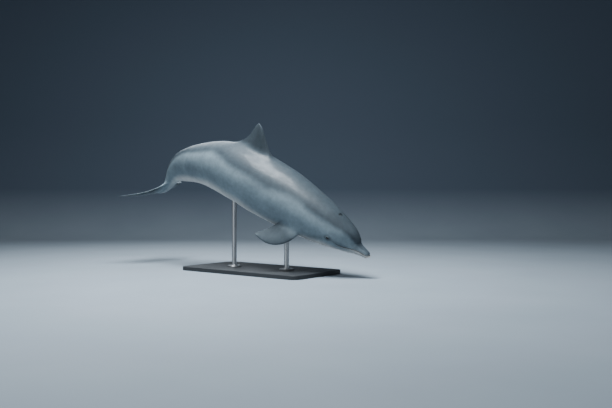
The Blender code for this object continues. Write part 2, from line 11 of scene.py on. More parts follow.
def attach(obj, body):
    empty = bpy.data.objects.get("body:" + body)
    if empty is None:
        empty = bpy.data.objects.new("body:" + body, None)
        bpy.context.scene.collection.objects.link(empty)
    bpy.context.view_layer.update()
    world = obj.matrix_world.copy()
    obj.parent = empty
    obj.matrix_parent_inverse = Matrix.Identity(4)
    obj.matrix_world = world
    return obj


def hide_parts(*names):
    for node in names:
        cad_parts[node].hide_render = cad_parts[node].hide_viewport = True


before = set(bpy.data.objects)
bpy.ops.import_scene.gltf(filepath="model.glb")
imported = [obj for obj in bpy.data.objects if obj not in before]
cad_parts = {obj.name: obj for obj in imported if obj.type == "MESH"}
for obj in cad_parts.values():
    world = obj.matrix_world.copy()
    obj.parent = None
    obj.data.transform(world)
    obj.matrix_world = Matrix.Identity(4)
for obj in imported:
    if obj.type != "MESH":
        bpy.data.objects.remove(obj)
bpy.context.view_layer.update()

# Driving sizes of the animal, as distances along the spine line from the tip of the beak
LENGTH = 2.50
TIP_ROUND = 0.020
MOUTH_CORNER = 0.232
EYE_AT = 0.293
BLOWHOLE_AT = 0.318
FLIPPER_ROOT = (0.500, 0.680)
DORSAL_ROOT = (1.025, 1.370)
FLUKE_ROOT = (2.220, 2.492)

# Pose: the bank to the right, and the height of the beak tip over the floor
BANK = radians(12.5)
BEAK_TIP = Vector((1.1391, 0.1026, 0.165))

# The cage has this many columns on each side, from the top midline to the bottom one
HALF = 10
SIDE = HALF // 2
# The flipper grows at this column, where these columns stand at these angles from the top, in degrees
FLIPPER_COLUMN = 7
FLIPPER_COLUMNS = ((5, 84), (6, 104), (7, 117), (8, 130), (9, 154))

# Distance from the beak tip, half width, height above the spine line, depth below it
STATIONS = (
    (0.000, 0.027, 0.014, 0.022),
    (0.030, 0.034, 0.019, 0.031),
    (0.070, 0.042, 0.027, 0.041),
    (0.091, 0.048, 0.035, 0.048),
    (0.104, 0.054, 0.051, 0.053),
    (0.118, 0.061, 0.070, 0.058),
    (0.135, 0.072, 0.085, 0.064),
    (0.160, 0.086, 0.102, 0.072),
    (0.200, 0.106, 0.117, 0.082),
    (0.270, 0.130, 0.138, 0.106),
    (0.350, 0.147, 0.160, 0.132),
    (0.460, 0.170, 0.186, 0.161),
    (0.620, 0.197, 0.209, 0.197),
    (0.840, 0.220, 0.231, 0.227),
    (1.080, 0.226, 0.231, 0.251),
    (1.300, 0.213, 0.226, 0.244),
    (1.400, 0.200, 0.221, 0.236),
    (1.500, 0.184, 0.208, 0.220),
    (1.700, 0.143, 0.169, 0.186),
    (1.880, 0.102, 0.139, 0.160),
    (2.010, 0.072, 0.116, 0.138),
    (2.120, 0.048, 0.083, 0.094),
    (2.200, 0.036, 0.058, 0.063),
    (2.280, 0.030, 0.044, 0.045),
    (2.370, 0.024, 0.029, 0.030),
    (2.450, 0.017, 0.012, 0.013),
    (2.500, 0.008, 0.003, 0.003),
)
# Distance from the beak tip, nose-down pitch of the spine line in degrees
PITCH = (
    (0.00, 33.5), (0.30, 30.5), (0.80, 31.0), (1.10, 27.5), (1.40, 15.5),
    (1.65, 7.0), (1.86, -3.5), (1.98, -13.0), (2.08, -31.0), (2.17, -50.0),
    (2.24, -45.0), (2.33, -22.0), (2.42, -9.0), (2.50, -6.0),
)
# Distance from the beak tip, and how sharp the section's top and bottom are: 1 is an ellipse
KEEL = (
    (0.00, 0.80), (0.11, 0.80), (0.16, 0.86), (0.30, 0.93), (0.60, 1.00),
    (1.30, 1.00), (1.70, 1.12), (2.10, 1.30), (2.30, 1.20), (2.50, 1.00),
)
# Distance from the beak tip, height of the line of the mouth over the spine line
MOUTH = (
    (0.000, 0.000), (0.060, -0.001), (0.120, -0.006), (0.160, -0.012),
    (0.190, -0.015), (0.212, -0.014), (0.232, -0.009), (0.255, 0.000),
)
# How far the lips stand from the line of the mouth and out from the skin, and how deep that line is
LIP = 0.0065
LIP_SWELL = 0.0012
MOUTH_DEPTH = 0.0075
# How far the lower jaw reaches past the upper one
JAW_REACH = 0.012
# Where the crease between beak and melon crosses the top, and how far back it sweeps down the sides
CREASE = 0.104
CREASE_SWEEP = 0.026

# Outlines of the fins: distance behind the front of the root, and distance out from it
DORSAL_EDGES = (
    ((0.000, 0.000), (0.048, 0.053), (0.090, 0.111), (0.123, 0.166), (0.148, 0.200), (0.172, 0.213)),
    ((0.345, 0.000), (0.282, 0.040), (0.242, 0.083), (0.218, 0.130), (0.203, 0.176), (0.181, 0.210)),
)
FLIPPER_EDGES = (
    ((0.000, 0.000), (0.014, 0.070), (0.050, 0.140), (0.112, 0.196), (0.200, 0.220), (0.294, 0.211)),
    ((0.180, 0.000), (0.205, 0.042), (0.226, 0.090), (0.252, 0.135), (0.288, 0.174), (0.301, 0.203)),
)
FLUKE_EDGES = (
    ((0.000, 0.000), (0.048, 0.078), (0.100, 0.155), (0.168, 0.233), (0.244, 0.290), (0.313, 0.316)),
    ((0.266, 0.000), (0.311, 0.036), (0.296, 0.114), (0.278, 0.192), (0.288, 0.260), (0.319, 0.309)),
)
# How far the flukes bend upward at a distance out from the root: this times its square
FLUKE_RISE = 0.42
# Thickness of each fin at its root, and how much thinner it is at its tip
DORSAL_TAPER = (0.056, 0.048)
FLIPPER_TAPER = (0.044, 0.036)
FLUKE_TAPER = (0.040, 0.034)
# The flipper points this much sideways and this much down, and its root is sunk this deep
FLIPPER_OUTWARD = (0.62, 0.78)
FLIPPER_SUNK = 0.008
# Where the loops of each fin stand between its root and its tip
DORSAL_SHARES = (0.10, 0.24, 0.42, 0.60, 0.78, 0.92, 1.0)
FLIPPER_SHARES = (0.09, 0.23, 0.40, 0.58, 0.76, 0.91, 1.0)
FLUKE_SHARES = (0.08, 0.20, 0.36, 0.54, 0.73, 0.90, 1.0)

# Head details
EYE_RADIUS = 0.0155
EYE_ANGLE = radians(88.5)
EYE_SUNK = 0.0128
BLOWHOLE_HALF = 0.017
BLOWHOLE_BULGE = 0.012

# Camera: how far it is turned, its distance to the beak tip, and that tip's place in the photo
VIEW_TURN = radians(37.56)
VIEW_DISTANCE = 4.63
FOCAL_PIXELS = 650.0
PHOTO_SIZE = (612, 408)
TIP_PIXEL = (369.0, 255.7)
FORWARD = Vector((-sin(VIEW_TURN), cos(VIEW_TURN), 0))
RIGHT = Vector((cos(VIEW_TURN), sin(VIEW_TURN), 0))
SENSOR = 36.0

# Eye opening: half its length, and the heights of its upper and lower edges
EYE_HALF = 0.0130
LID_HEIGHTS = (0.0068, 0.0056)
LID_THICKNESS = 0.0013
# The skin is made anew this far before and behind the eye and this many columns above and below it
EYE_PATCH = 0.0345
EYE_COLUMNS = 1.35
EYE_RINGS = 30

# The navel and the two slits of the belly: middle, half length, half width and depth
BELLY_MARKS = (
    (1.150, 0.016, 0.0042, 0.0022),
    (1.560, 0.046, 0.0022, 0.0030),
    (1.668, 0.015, 0.0022, 0.0026),
)
# Where the folds of the throat lie, as distances from the beak tip
THROAT_FOLDS = (0.290, 0.336, 0.388, 0.450)
# How far behind the eye the ear pit lies, and how far below it as an angle round the section
EAR_BEHIND = 0.052
EAR_BELOW = 0.06

# The nodes that the skin stands for
FLESH = ("head", "lower_jaw", "chest", "trunk", "dorsal_fin", "tail_stock_front", "tail_stock_rear")
FLESH += ("flipper_left", "flipper_right", "fluke_left", "fluke_right")

# The stand's turned rods and the rounding of its base
ROD_RADIUS = 0.019
FLANGE_HEIGHT = 0.010
FILLET = 0.006
BASE_CORNER = 0.07
BASE_EDGE = 0.004
# A flange's four socket screws: distance from the rod's axis, radius and height of a head, half its socket
SCREW_CIRCLE = 0.041
SCREW_RADIUS = 0.0050
SCREW_HEIGHT = 0.0020
SOCKET_HALF = 0.0025

# Reach of the floor to the front and the back, half its width, and the bend and height of the backdrop
FLOOR_FRONT = 9.0
FLOOR_BACK = 4.5
FLOOR_HALF = 12
BACKDROP_BEND = 2.0
BACKDROP_TOP = 9.0
# The lamps point here
LIT_POINT = Vector((0.1, 0.0, 0.7))

# Colours of the hide, from the back to the belly
CAPE = (0.064, 0.080, 0.093)
FLANK = (0.205, 0.252, 0.280)
BELLY = (0.600, 0.585, 0.565)
LIP_PALE = (0.580, 0.565, 0.540)
FIN_DARK = (0.068, 0.083, 0.095)
BEAK_LIFT = 1.6
# Colours of the eye
EYE_WHITE = (0.070, 0.055, 0.050)
IRIS_RING = (0.010, 0.007, 0.006)
IRIS = (0.034, 0.018, 0.011)
PUPIL = (0.003, 0.003, 0.004)
# Dark and light parts of steel, coat and floor, then the backdrop, the lamps and the air
STEEL_TONES = ((0.50, 0.505, 0.51, 1), (0.62, 0.625, 0.63, 1))
COAT_TONES = ((0.040, 0.043, 0.047, 1), (0.052, 0.055, 0.059, 1))
FLOOR_TONES = ((0.250, 0.290, 0.330, 1), (0.300, 0.340, 0.380, 1))
BACKDROP_TONE = (0.105, 0.132, 0.170, 1)
LAMP_TONE = (0.90, 0.96, 1.00)
AIR_TONE = (0.80, 0.87, 0.95, 1)


# Curves through the stations, and the spine line


def smooth_curve(knots):
    """A monotone cubic through (x, y) knots, as a function of x."""
    x, y = (np.array(v, float) for v in zip(*knots))
    h, d = np.diff(x), np.diff(y) / np.diff(x)
    m = np.zeros(len(x))
    same = d[:-1] * d[1:] > 0
    w1, w2 = (2 * h[1:] + h[:-1])[same], (h[1:] + 2 * h[:-1])[same]
    m[1:-1][same] = (w1 + w2) / (w1 / d[:-1][same] + w2 / d[1:][same])
    m[0], m[-1] = d[0], d[-1]

    def at(q):
        q = np.clip(q, x[0], x[-1])
        i = np.clip(np.searchsorted(x, q) - 1, 0, len(h) - 1)
        t = (q - x[i]) / h[i]
        start = (1 + 2 * t) * (1 - t) ** 2 * y[i] + t * (1 - t) ** 2 * h[i] * m[i]
        return start + t * t * (3 - 2 * t) * y[i + 1] + t * t * (t - 1) * h[i] * m[i + 1]

    return at


half_width = smooth_curve([s[:2] for s in STATIONS])
top_height = smooth_curve([(s[0], s[2]) for s in STATIONS])
bottom_depth = smooth_curve([(s[0], s[3]) for s in STATIONS])
pitch_at = smooth_curve(PITCH)
keel_at = smooth_curve(KEEL)
mouth_at = smooth_curve(MOUTH)


def fade(value, start, end):
    """0 up to start, 1 from end, smooth between them."""
    t = np.clip((value - start) / (end - start), 0.0, 1.0)
    return t * t * (3 - 2 * t)


def walk_spine():
    """The spine line's points at every millimetre, in its own upright plane, from its pitch."""
    s = np.linspace(0, LENGTH, round(LENGTH * 1000) + 1)
    middle = np.radians(pitch_at((s[1:] + s[:-1]) / 2))
    step = np.diff(s)
    x = np.concatenate([[0], np.cumsum(-np.cos(middle) * step)])
    z = np.concatenate([[0], np.cumsum(np.sin(middle) * step)])
    return s, x, z


SPINE = walk_spine()
POSE = Matrix.Translation(BEAK_TIP) @ Matrix.Rotation(BANK, 4, "X")


def spine(s):
    """Point, backward direction and up direction of the spine line. It runs straight on past its end."""
    distance, x, z = SPINE
    pitch = radians(pitch_at(s))
    back = Vector((-cos(pitch), 0, sin(pitch)))
    up = Vector((sin(pitch), 0, cos(pitch)))
    point = Vector((np.interp(s, distance, x), 0, np.interp(s, distance, z)))
    return point + back * max(0.0, s - LENGTH), back, up


# The control cage


def mouth_angle(s):
    """Angle round the section, from its top, of the line of the mouth."""
    height = mouth_at(s)
    reach = top_height(s) if height > 0 else bottom_depth(s)
    return acos(height / reach)


def column_angles(s):
    """Angles of the cage's columns from the top midline to the bottom one."""
    even = pi / HALF
    away = fade(s, MOUTH_CORNER, MOUTH_CORNER + 0.14)
    mouth = mouth_angle(s) * (1 - away) + pi / 2 * away
    reach = (top_height(s) + bottom_depth(s)) / 2
    lip = min(even, LIP / reach) * (1 - away) + even * away
    in_fin = fade(s, 0.98, DORSAL_ROOT[0]) * (1 - fade(s, DORSAL_ROOT[1], 1.60))
    anchors = [(0, 0), (SIDE - 1, mouth - lip), (SIDE, mouth), (SIDE + 1, mouth + lip), (HALF, pi)]
    if in_fin > 0:
        anchors.insert(1, (1, even * (1 - 0.42 * in_fin)))
    angles = np.interp(range(HALF + 1), *zip(*anchors))
    in_flipper = fade(s, MOUTH_CORNER, FLIPPER_ROOT[0]) * (1 - fade(s, FLIPPER_ROOT[1], 0.90))
    for column, angle in FLIPPER_COLUMNS:
        angles[column] += (radians(angle) - angles[column]) * in_flipper
    return angles


def section_point(s, angle, grow=0.0):
    """Sideways and upward offsets of the skin from the spine line, at an angle from the top leftward."""
    side, up = sin(angle), cos(angle)
    width = half_width(s) + grow
    reach = (top_height(s) if up > 0 else bottom_depth(s)) + grow
    return width * copysign(abs(side) ** keel_at(s), side), reach * up


def skin_point(s, angle):
    """A point of the skin's left side."""
    point, _, up = spine(s)
    y, z = section_point(s, angle)
    return point + up * z + Vector((0, y, 0))


def ring(s):
    """One ring of the cage, counted from the top midline down the left side and up the right one."""
    point, back, up = spine(s)
    facing = 1 - min(s / TIP_ROUND, 1.0)
    rounding = sqrt(1 - facing**2)
    mouth_open = 1 - fade(s, MOUTH_CORNER - 0.035, MOUTH_CORNER)
    left = []
    for column, angle in enumerate(column_angles(s)):
        grow, sunk = 0.0, 0.0
        if column == SIDE:
            depth = MOUTH_DEPTH * mouth_open * (0.35 + 0.65 * fade(s, 0.0, 0.05))
            grow, sunk = -depth * rounding, depth * facing
        elif abs(column - SIDE) == 1:
            grow = LIP_SWELL * mouth_open * rounding
        y, z = section_point(s, angle, grow)
        under_mouth = (mouth_at(s) - z) * rounding
        shift = JAW_REACH * fade(under_mouth, 0.0, 0.004) * (1 - fade(s, 0.0, 0.10)) - sunk
        flank = fade(angle, 0.35, 1.05) * (1 - fade(angle, 1.10, mouth_angle(s) - 0.05))
        shift -= CREASE_SWEEP * flank * fade(s, 0.040, CREASE) * (1 - fade(s, 0.140, 0.250))
        left.append((y * rounding, z * rounding, shift))
    right = [(-y, z, shift) for y, z, shift in left[-2:0:-1]]
    return [point + Vector((0, y, 0)) + up * z - back * shift for y, z, shift in left + right]


def ring_distances():
    """Where the rings stand along the spine line, closer where the shape turns or a fin grows."""
    tip = [TIP_ROUND * (1 - cos(radians(a))) for a in (24, 47, 69)]
    runs = (
        (TIP_ROUND, 0.086, 4),
        (0.086, 0.146, 5),
        (0.146, 0.440, 16),
        (0.440, FLIPPER_ROOT[0], 1),
        (*FLIPPER_ROOT, 5),
        (FLIPPER_ROOT[1], DORSAL_ROOT[0], 3),
        (*DORSAL_ROOT, 6),
        (DORSAL_ROOT[1], FLUKE_ROOT[0], 9),
        (*FLUKE_ROOT, 5),
    )
    steps = [s for start, end, count in runs for s in np.linspace(start, end, count, endpoint=False)]
    return tip + steps + [FLUKE_ROOT[1]]


class Cage:
    """Points and faces of the animal's control cage, in the spine's own upright plane."""

    def __init__(self):
        self.distances = ring_distances()
        self.points = [p for s in self.distances for p in ring(s)]
        self.around = 2 * HALF
        self.faces = {}
        for row in range(len(self.distances) - 1):
            for column in range(self.around):
                near = (self.index(row, column), self.index(row, column + 1))
                far = (self.index(row + 1, column + 1), self.index(row + 1, column))
                self.faces[row, column] = near + far
        self.extra = []
        self.close_beak()
        self.close_tail()

    def index(self, row, column):
        return row * self.around + column % self.around

    def row_at(self, s):
        return int(np.argmin(np.abs(np.array(self.distances) - s)))

    def close_beak(self):
        """Fills the first ring from side to side, so that the line of the mouth runs round the front."""
        back = spine(0.0)[1]
        facing = 1 - self.distances[0] / TIP_ROUND
        rounding = sqrt(1 - facing**2)
        angles = column_angles(self.distances[0])
        middle = {}
        for column in range(1, HALF):
            share = rounding * cos(angles[column])
            halfway = (self.points[column] + self.points[self.around - column]) / 2
            middle[column] = len(self.points)
            self.points.append(halfway - back * TIP_ROUND * (sqrt(1 - share**2) - facing))
        self.extra.append((1, 0, self.around - 1, middle[1]))
        for column in range(1, HALF - 1):
            mirror = self.around - column
            self.extra.append((column + 1, column, middle[column], middle[column + 1]))
            self.extra.append((mirror, mirror - 1, middle[column + 1], middle[column]))
        self.extra.append((HALF + 1, HALF, HALF - 1, middle[HALF - 1]))

    def close_tail(self):
        last, pole = len(self.distances) - 1, len(self.points)
        self.points.append(spine(LENGTH)[0])
        for column in range(self.around):
            self.extra.append((self.index(last, column), self.index(last, column + 1), pole))

    def grow_fin(self, root, column, loops):
        """Draws a fin out of the two face columns beside a cage column, between two root rows.

        loops(count) gives the points of each outward loop: the front edge, count points down one side,
        the rear edge and as many back up the other side.
        """
        first, last = self.row_at(root[0]), self.row_at(root[1])
        for row in range(first, last):
            for beside in (column - 1, column):
                del self.faces[row, beside % self.around]
        rows = range(first, last + 1)
        loop = [self.index(first, column)] + [self.index(row, column + 1) for row in rows]
        loop += [self.index(last, column)] + [self.index(row, column - 1) for row in reversed(rows)]
        count = len(rows)
        for points in loops(count):
            start = len(self.points)
            self.points.extend(points)
            outer = list(range(start, start + len(points)))
            for k in range(len(loop)):
                n = (k + 1) % len(loop)
                self.extra.append((loop[k], loop[n], outer[n], outer[k]))
            loop = outer
        side_a, side_b = loop[1 : count + 1], loop[: count + 1 : -1]
        self.extra.append((loop[0], side_a[0], side_b[0]))
        for k in range(count - 1):
            self.extra.append((side_a[k], side_a[k + 1], side_b[k + 1], side_b[k]))
        self.extra.append((loop[count + 1], side_b[-1], side_a[-1]))

    def smoothed_mesh(self, level, on_fin):
        """The cage as a smooth mesh in the spine's plane, with a number kept on each of its points."""
        mesh = bpy.data.meshes.new("cage")
        mesh.from_pydata(self.points, [], list(self.faces.values()) + self.extra)
        store(mesh, "on_fin", on_fin)
        cage = new_object("cage", mesh)
        smooth = cage.modifiers.new("smooth", "SUBSURF")
        smooth.levels = smooth.render_levels = level
        graph = bpy.context.evaluated_depsgraph_get()
        made = bpy.data.meshes.new_from_object(cage.evaluated_get(graph))
        bpy.data.objects.remove(cage)
        return made


# The fins


def edge_curve(points):
    """A smooth curve through an edge's points, as a function of its share from root to tip."""
    share = np.linspace(0, 1, len(points))
    along, out = (smooth_curve(list(zip(share, values))) for values in zip(*points))
    return lambda h: (along(h), out(h))


def fin_loops(edges, shares, taper, place):
    """Loops of a fin: each a slim, round-nosed section between its front and rear edges.

    place(along, out, off) puts a point of the outline, off to one side, in the spine's plane.
    """
    front_edge, rear_edge = (edge_curve(points) for points in edges)

    def loops(count):
        chordwise = 0.045 + 0.91 * np.linspace(0, 1, count)
        for h in shares:
            front, rear = np.array(front_edge(h)), np.array(rear_edge(h))
            half = (taper[0] - taper[1] * h) / 2
            body = (chordwise / 0.3) ** 0.5 * ((1 - chordwise) / 0.7) ** 1.17
            sides = [front + (rear - front) * c for c in chordwise]
            yield (
                [place(*front, 0.0)]
                + [place(*p, half * b) for p, b in zip(sides, body)]
                + [place(*rear, 0.0)]
                + [place(*p, -half * b) for p, b in zip(sides[::-1], body[::-1])]
            )

    return loops


def dorsal_fin(cage):
    up = spine(sum(DORSAL_ROOT) / 2)[2]

    def place(along, out, off):
        return skin_point(DORSAL_ROOT[0] + along, 0.0) + up * out + Vector((0, off, 0))

    cage.grow_fin(DORSAL_ROOT, 0, fin_loops(DORSAL_EDGES, DORSAL_SHARES, DORSAL_TAPER, place))


def mirrored(point, side):
    return Vector((point.x, point.y * side, point.z))


def flipper(cage, side):
    """side is 1 for the left flipper and -1 for the right one."""
    root = skin_point(FLIPPER_ROOT[0], radians(dict(FLIPPER_COLUMNS)[FLIPPER_COLUMN]))
    _, chord, up = spine(FLIPPER_ROOT[0])
    outward = (Vector((0, 1, 0)) * FLIPPER_OUTWARD[0] - up * FLIPPER_OUTWARD[1]).normalized()
    facing = chord.cross(outward)

    def place(along, out, off):
        reach = outward * (out - FLIPPER_SUNK)
        return mirrored(root + chord * along + reach + facing * (side * off), side)

    loops = fin_loops(FLIPPER_EDGES, FLIPPER_SHARES, FLIPPER_TAPER, place)
    cage.grow_fin(FLIPPER_ROOT, side * FLIPPER_COLUMN, loops)


def fluke(cage, side):
    """side is 1 for the left fluke and -1 for the right one."""
    root_width = half_width(FLUKE_ROOT[0])

    def place(along, out, off):
        point, _, up = spine(FLUKE_ROOT[0] + along)
        reach = root_width + out
        return mirrored(point + Vector((0, reach, 0)) + up * (FLUKE_RISE * out * out - side * off), side)

    loops = fin_loops(FLUKE_EDGES, FLUKE_SHARES, FLUKE_TAPER, place)
    cage.grow_fin(FLUKE_ROOT, side * SIDE, loops)


# Places on the skin


def eye_frame(side):
    """Centre of the eyeball with its outward, backward and upward directions."""
    s, angle = EYE_AT, EYE_ANGLE
    back = (skin_point(s + 0.004, angle) - skin_point(s - 0.004, angle)).normalized()
    upward = (skin_point(s, angle - 0.03) - skin_point(s, angle + 0.03)).normalized()
    outward = back.cross(upward).normalized()
    left = (skin_point(s, angle), outward, back, outward.cross(back))
    point, outward, back, upward = (mirrored(v, side) for v in left)
    return point - outward * EYE_SUNK, outward, back, upward


def bell(value, middle, width):
    """1 at the middle, falling off to both sides."""
    return np.exp(-(((value - middle) / width) ** 2))


def new_object(name, data):
    made = bpy.data.objects.new(name, data)
    bpy.context.scene.collection.objects.link(made)
    return made


def mesh_from(shape, name):
    """The mesh of a finished bmesh, which is freed."""
    mesh = bpy.data.meshes.new(name)
    shape.to_mesh(mesh)
    shape.free()
    return mesh


def read(items, name, size=3):
    """The items' values of this name, a row for each."""
    flat = np.empty(len(items) * size)
    items.foreach_get(name, flat)
    return flat.reshape(-1, size)


def set_points(mesh, points):
    mesh.vertices.foreach_set("co", points.ravel())
    mesh.update()


class BodyPlaces:
    """Distance along the spine, height over it, side and angle from the top of many skin points."""

    def __init__(self, points):
        distance, x, z = SPINE
        knots = np.arange(0, len(distance), 6)
        pitch = np.radians(pitch_at(distance[knots]))
        back = np.stack([-np.cos(pitch), np.sin(pitch)], axis=1)
        middle = np.stack([x[knots], z[knots]], axis=1)
        flat = points[:, (0, 2)]
        nearest = np.empty(len(flat), int)
        for start in range(0, len(flat), 20000):
            block = flat[start : start + 20000]
            gap = block[:, None, :] - middle[None, :, :]
            nearest[start : start + 20000] = np.argmin((gap**2).sum(axis=2), axis=1)
        off = flat - middle[nearest]
        along, back = distance[knots][nearest], back[nearest]
        self.s = along + (off * back).sum(axis=1)
        up = np.stack([back[:, 1], -back[:, 0]], axis=1)
        self.height = (off * up).sum(axis=1)
        self.side = points[:, 1]
        self.angle = np.arctan2(np.abs(self.side), self.height)

    def columns(self):
        """Where the points lie between the cage's columns."""
        columns = range(HALF + 1)
        return np.array([np.interp(a, column_angles(s), columns) for s, a in zip(self.s, self.angle)])


def build_cage():
    """The cage, and how far out each of its points is on a fin: 0 on the body, 1 at a tip."""
    cage = Cage()
    on_fin = [0.0] * len(cage.points)
    fins = [(DORSAL_SHARES, dorsal_fin, ())]
    for side in (1, -1):
        fins += [(FLIPPER_SHARES, flipper, (side,)), (FLUKE_SHARES, fluke, (side,))]
    for shares, grow, side in fins:
        before = len(cage.points)
        grow(cage, *side)
        in_loop = (len(cage.points) - before) // len(shares)
        on_fin += [share for share in shares for _ in range(in_loop)]
    return cage, on_fin


def store(mesh, name, values):
    mesh.attributes.new(name, "FLOAT", "POINT").data.foreach_set("value", np.asarray(values, np.float32))


def store_colour(mesh, name, colour):
    rgba = np.concatenate([colour, np.ones((len(colour), 1))], axis=1)
    mesh.attributes.new(name, "FLOAT_COLOR", "POINT").data.foreach_set("color", rgba.ravel())


def eye_coordinates(points, side):
    """Backward, upward and outward offsets from the centre of an eyeball."""
    middle, outward, back, upward = eye_frame(side)
    off = points - np.array(middle)
    return (off @ np.array(axis) for axis in (back, upward, outward))


# The eye's opening, the blowhole and the folds


def region_border(faces):
    """The ordered corner vertices round some faces."""
    inside, nextto = set(faces), {}
    for face in faces:
        for edge in face.edges:
            if any(other not in inside for other in edge.link_faces):
                a, b = edge.verts
                nextto.setdefault(a, []).append(b)
                nextto.setdefault(b, []).append(a)
    first = next(iter(nextto))
    loop, last = [first], None
    while True:
        step = next(v for v in nextto[loop[-1]] if v is not last)
        if step is first:
            return loop
        last = loop[-1]
        loop.append(step)


def lid_edge(turn, grow=0.0):
    """Backward and upward offsets of the eye's opening, round from its rear corner."""
    high = np.where(np.sin(turn) > 0, LID_HEIGHTS[0], LID_HEIGHTS[1]) + grow
    across = np.sign(np.sin(turn)) * np.abs(np.sin(turn)) ** 1.45 * high
    return (EYE_HALF + grow * 0.5) * np.cos(turn), across + 0.0006 * np.cos(turn)


def even_turns(a, b):
    """Angles of a border's points round the eye, evened so that they never turn back."""
    turn = np.unwrap(np.arctan2(b, a))
    steady = turn[0] + np.arange(len(turn)) / len(turn) * copysign(2 * pi, turn[-1] - turn[0])
    off = turn - steady
    for _ in range(12):
        off = (np.roll(off, 1) + 2 * off + np.roll(off, -1)) / 4
    return steady + off


def cubic_terms(a, b):
    """The terms of a cubic surface at each point."""
    return np.stack([np.ones_like(a), a, b, a * a, a * b, b * b, a**3, b**3, a * a * b, a * b * b], axis=1)


def open_eye(shape, side):
    """Replaces the skin round an eye with rings that run in to the lids and roll in over the eyeball."""
    middle, outward, back, upward = eye_frame(side)
    near = [face for face in shape.faces if (face.calc_center_median() - middle).length < 3 * EYE_PATCH]
    places = BodyPlaces(np.array([face.calc_center_median() for face in near]))
    columns = places.columns()
    eye_column = np.interp(EYE_ANGLE, column_angles(EYE_AT), range(HALF + 1))
    inside = (np.abs(places.s - EYE_AT) < EYE_PATCH) & (np.abs(columns - eye_column) < EYE_COLUMNS)
    faces = [face for face, chosen in zip(near, inside & (places.side * side > 0)) if chosen]
    border = region_border(faces)
    rim = np.array([v.co for v in dict.fromkeys(v for face in faces for v in face.verts)])
    a, b, n = eye_coordinates(rim, side)
    fit = np.linalg.lstsq(cubic_terms(a, b), n, rcond=None)[0]
    edge_a, edge_b, _ = eye_coordinates(np.array([v.co for v in border]), side)
    inner_a, inner_b = lid_edge(even_turns(edge_a, edge_b))
    bmesh.ops.delete(shape, geom=faces, context="FACES")

    def skin_level(a, b, d):
        """The skin over the eyeball: the smooth cheek, the lids' swell and their creases."""
        cheek = cubic_terms(a, b) @ fit - 0.0012 * bell(d, 0.013, 0.006)
        swell = EYE_RADIUS + LID_THICKNESS - (a * a + b * b) / (2 * EYE_RADIUS)
        blend = 0.0016
        level = blend * np.log(np.exp((cheek - 0.012) / blend) + np.exp((swell - 0.012) / blend)) + 0.012
        over = fade(b, -0.001, 0.003)
        corner = 1 - 0.75 * fade(np.abs(a), 0.010, 0.022)
        level -= over * corner * (0.0010 * bell(d, 0.0050, 0.0010) + 0.0006 * bell(d, 0.0085, 0.0011))
        level -= (1 - over) * corner * (0.0008 * bell(d, 0.0042, 0.0009) + 0.0004 * bell(d, 0.0078, 0.0012))
        return level

    rows = []
    for q in (np.linspace(1, 0, EYE_RINGS) ** 1.5)[1:]:
        a = inner_a + (edge_a - inner_a) * q
        b = inner_b + (edge_b - inner_b) * q
        d = np.hypot(a - inner_a, b - inner_b)
        level = skin_level(a, b, d)
        mixed = fade(np.full_like(d, q), 0.72, 1.0)
        rows.append((a, b, level * (1 - mixed) + cubic_terms(a, b) @ fit * mixed))
    lid_a, lid_b, lid_n = rows[-1]
    for shrink, depth in ((0.965, 0.0004), (0.955, 0.0010), (0.97, 0.0018), (1.02, 0.0050), (1.02, 0.0110)):
        rows.append((lid_a * shrink, lid_b * shrink, lid_n - depth))
    loop = border
    for a, b, n in rows:
        fresh = [shape.verts.new(middle + back * x + upward * y + outward * z) for x, y, z in zip(a, b, n)]
        for k in range(len(loop)):
            m = (k + 1) % len(loop)
            shape.faces.new((loop[k], loop[m], fresh[m], fresh[k]))
        loop = fresh


def refine(shape, inside, cuts):
    """Divides the faces for which inside(centre) is true and evens out the new points."""
    faces = [face for face in shape.faces if inside(face.calc_center_median())]
    edges = list(dict.fromkeys(edge for face in faces for edge in face.edges))
    result = bmesh.ops.subdivide_edges(shape, edges=edges, cuts=cuts, use_grid_fill=True)
    fresh = [item for item in result["geom_inner"] if isinstance(item, bmesh.types.BMVert)]
    every_axis = {"use_axis_x": True, "use_axis_y": True, "use_axis_z": True}
    for _ in range(8):
        bmesh.ops.smooth_vert(shape, verts=fresh, factor=0.5, **every_axis)


def blowhole_cut(points, normals):
    """Sinks the crescent of the nostril into the top of the head, with a soft rim round it."""
    places = BodyPlaces(points)
    t = places.side / BLOWHOLE_HALF
    line = BLOWHOLE_AT + BLOWHOLE_BULGE * (1 - t * t)
    slope = np.abs(2 * BLOWHOLE_BULGE * t / BLOWHOLE_HALF)
    gap = (places.s - line) / np.sqrt(1 + slope**2)
    ends = 1 - fade(np.abs(t), 0.60, 1.15)
    top = fade(places.height, 0.05, 0.10)
    sink = 0.0052 * np.exp(-np.abs(gap / 0.0017) ** 3) * ends
    lips = 0.0012 * (bell(gap, 0.0048, 0.0026) + 0.8 * bell(gap, -0.0050, 0.0028))
    lips = lips * (1 - fade(np.abs(t), 0.6, 1.1))
    dish = 0.0016 * np.exp(-((places.side / 0.026) ** 2) - ((places.s - BLOWHOLE_AT - 0.004) / 0.020) ** 2)
    return points - normals * ((sink - lips + dish) * top)[:, None]


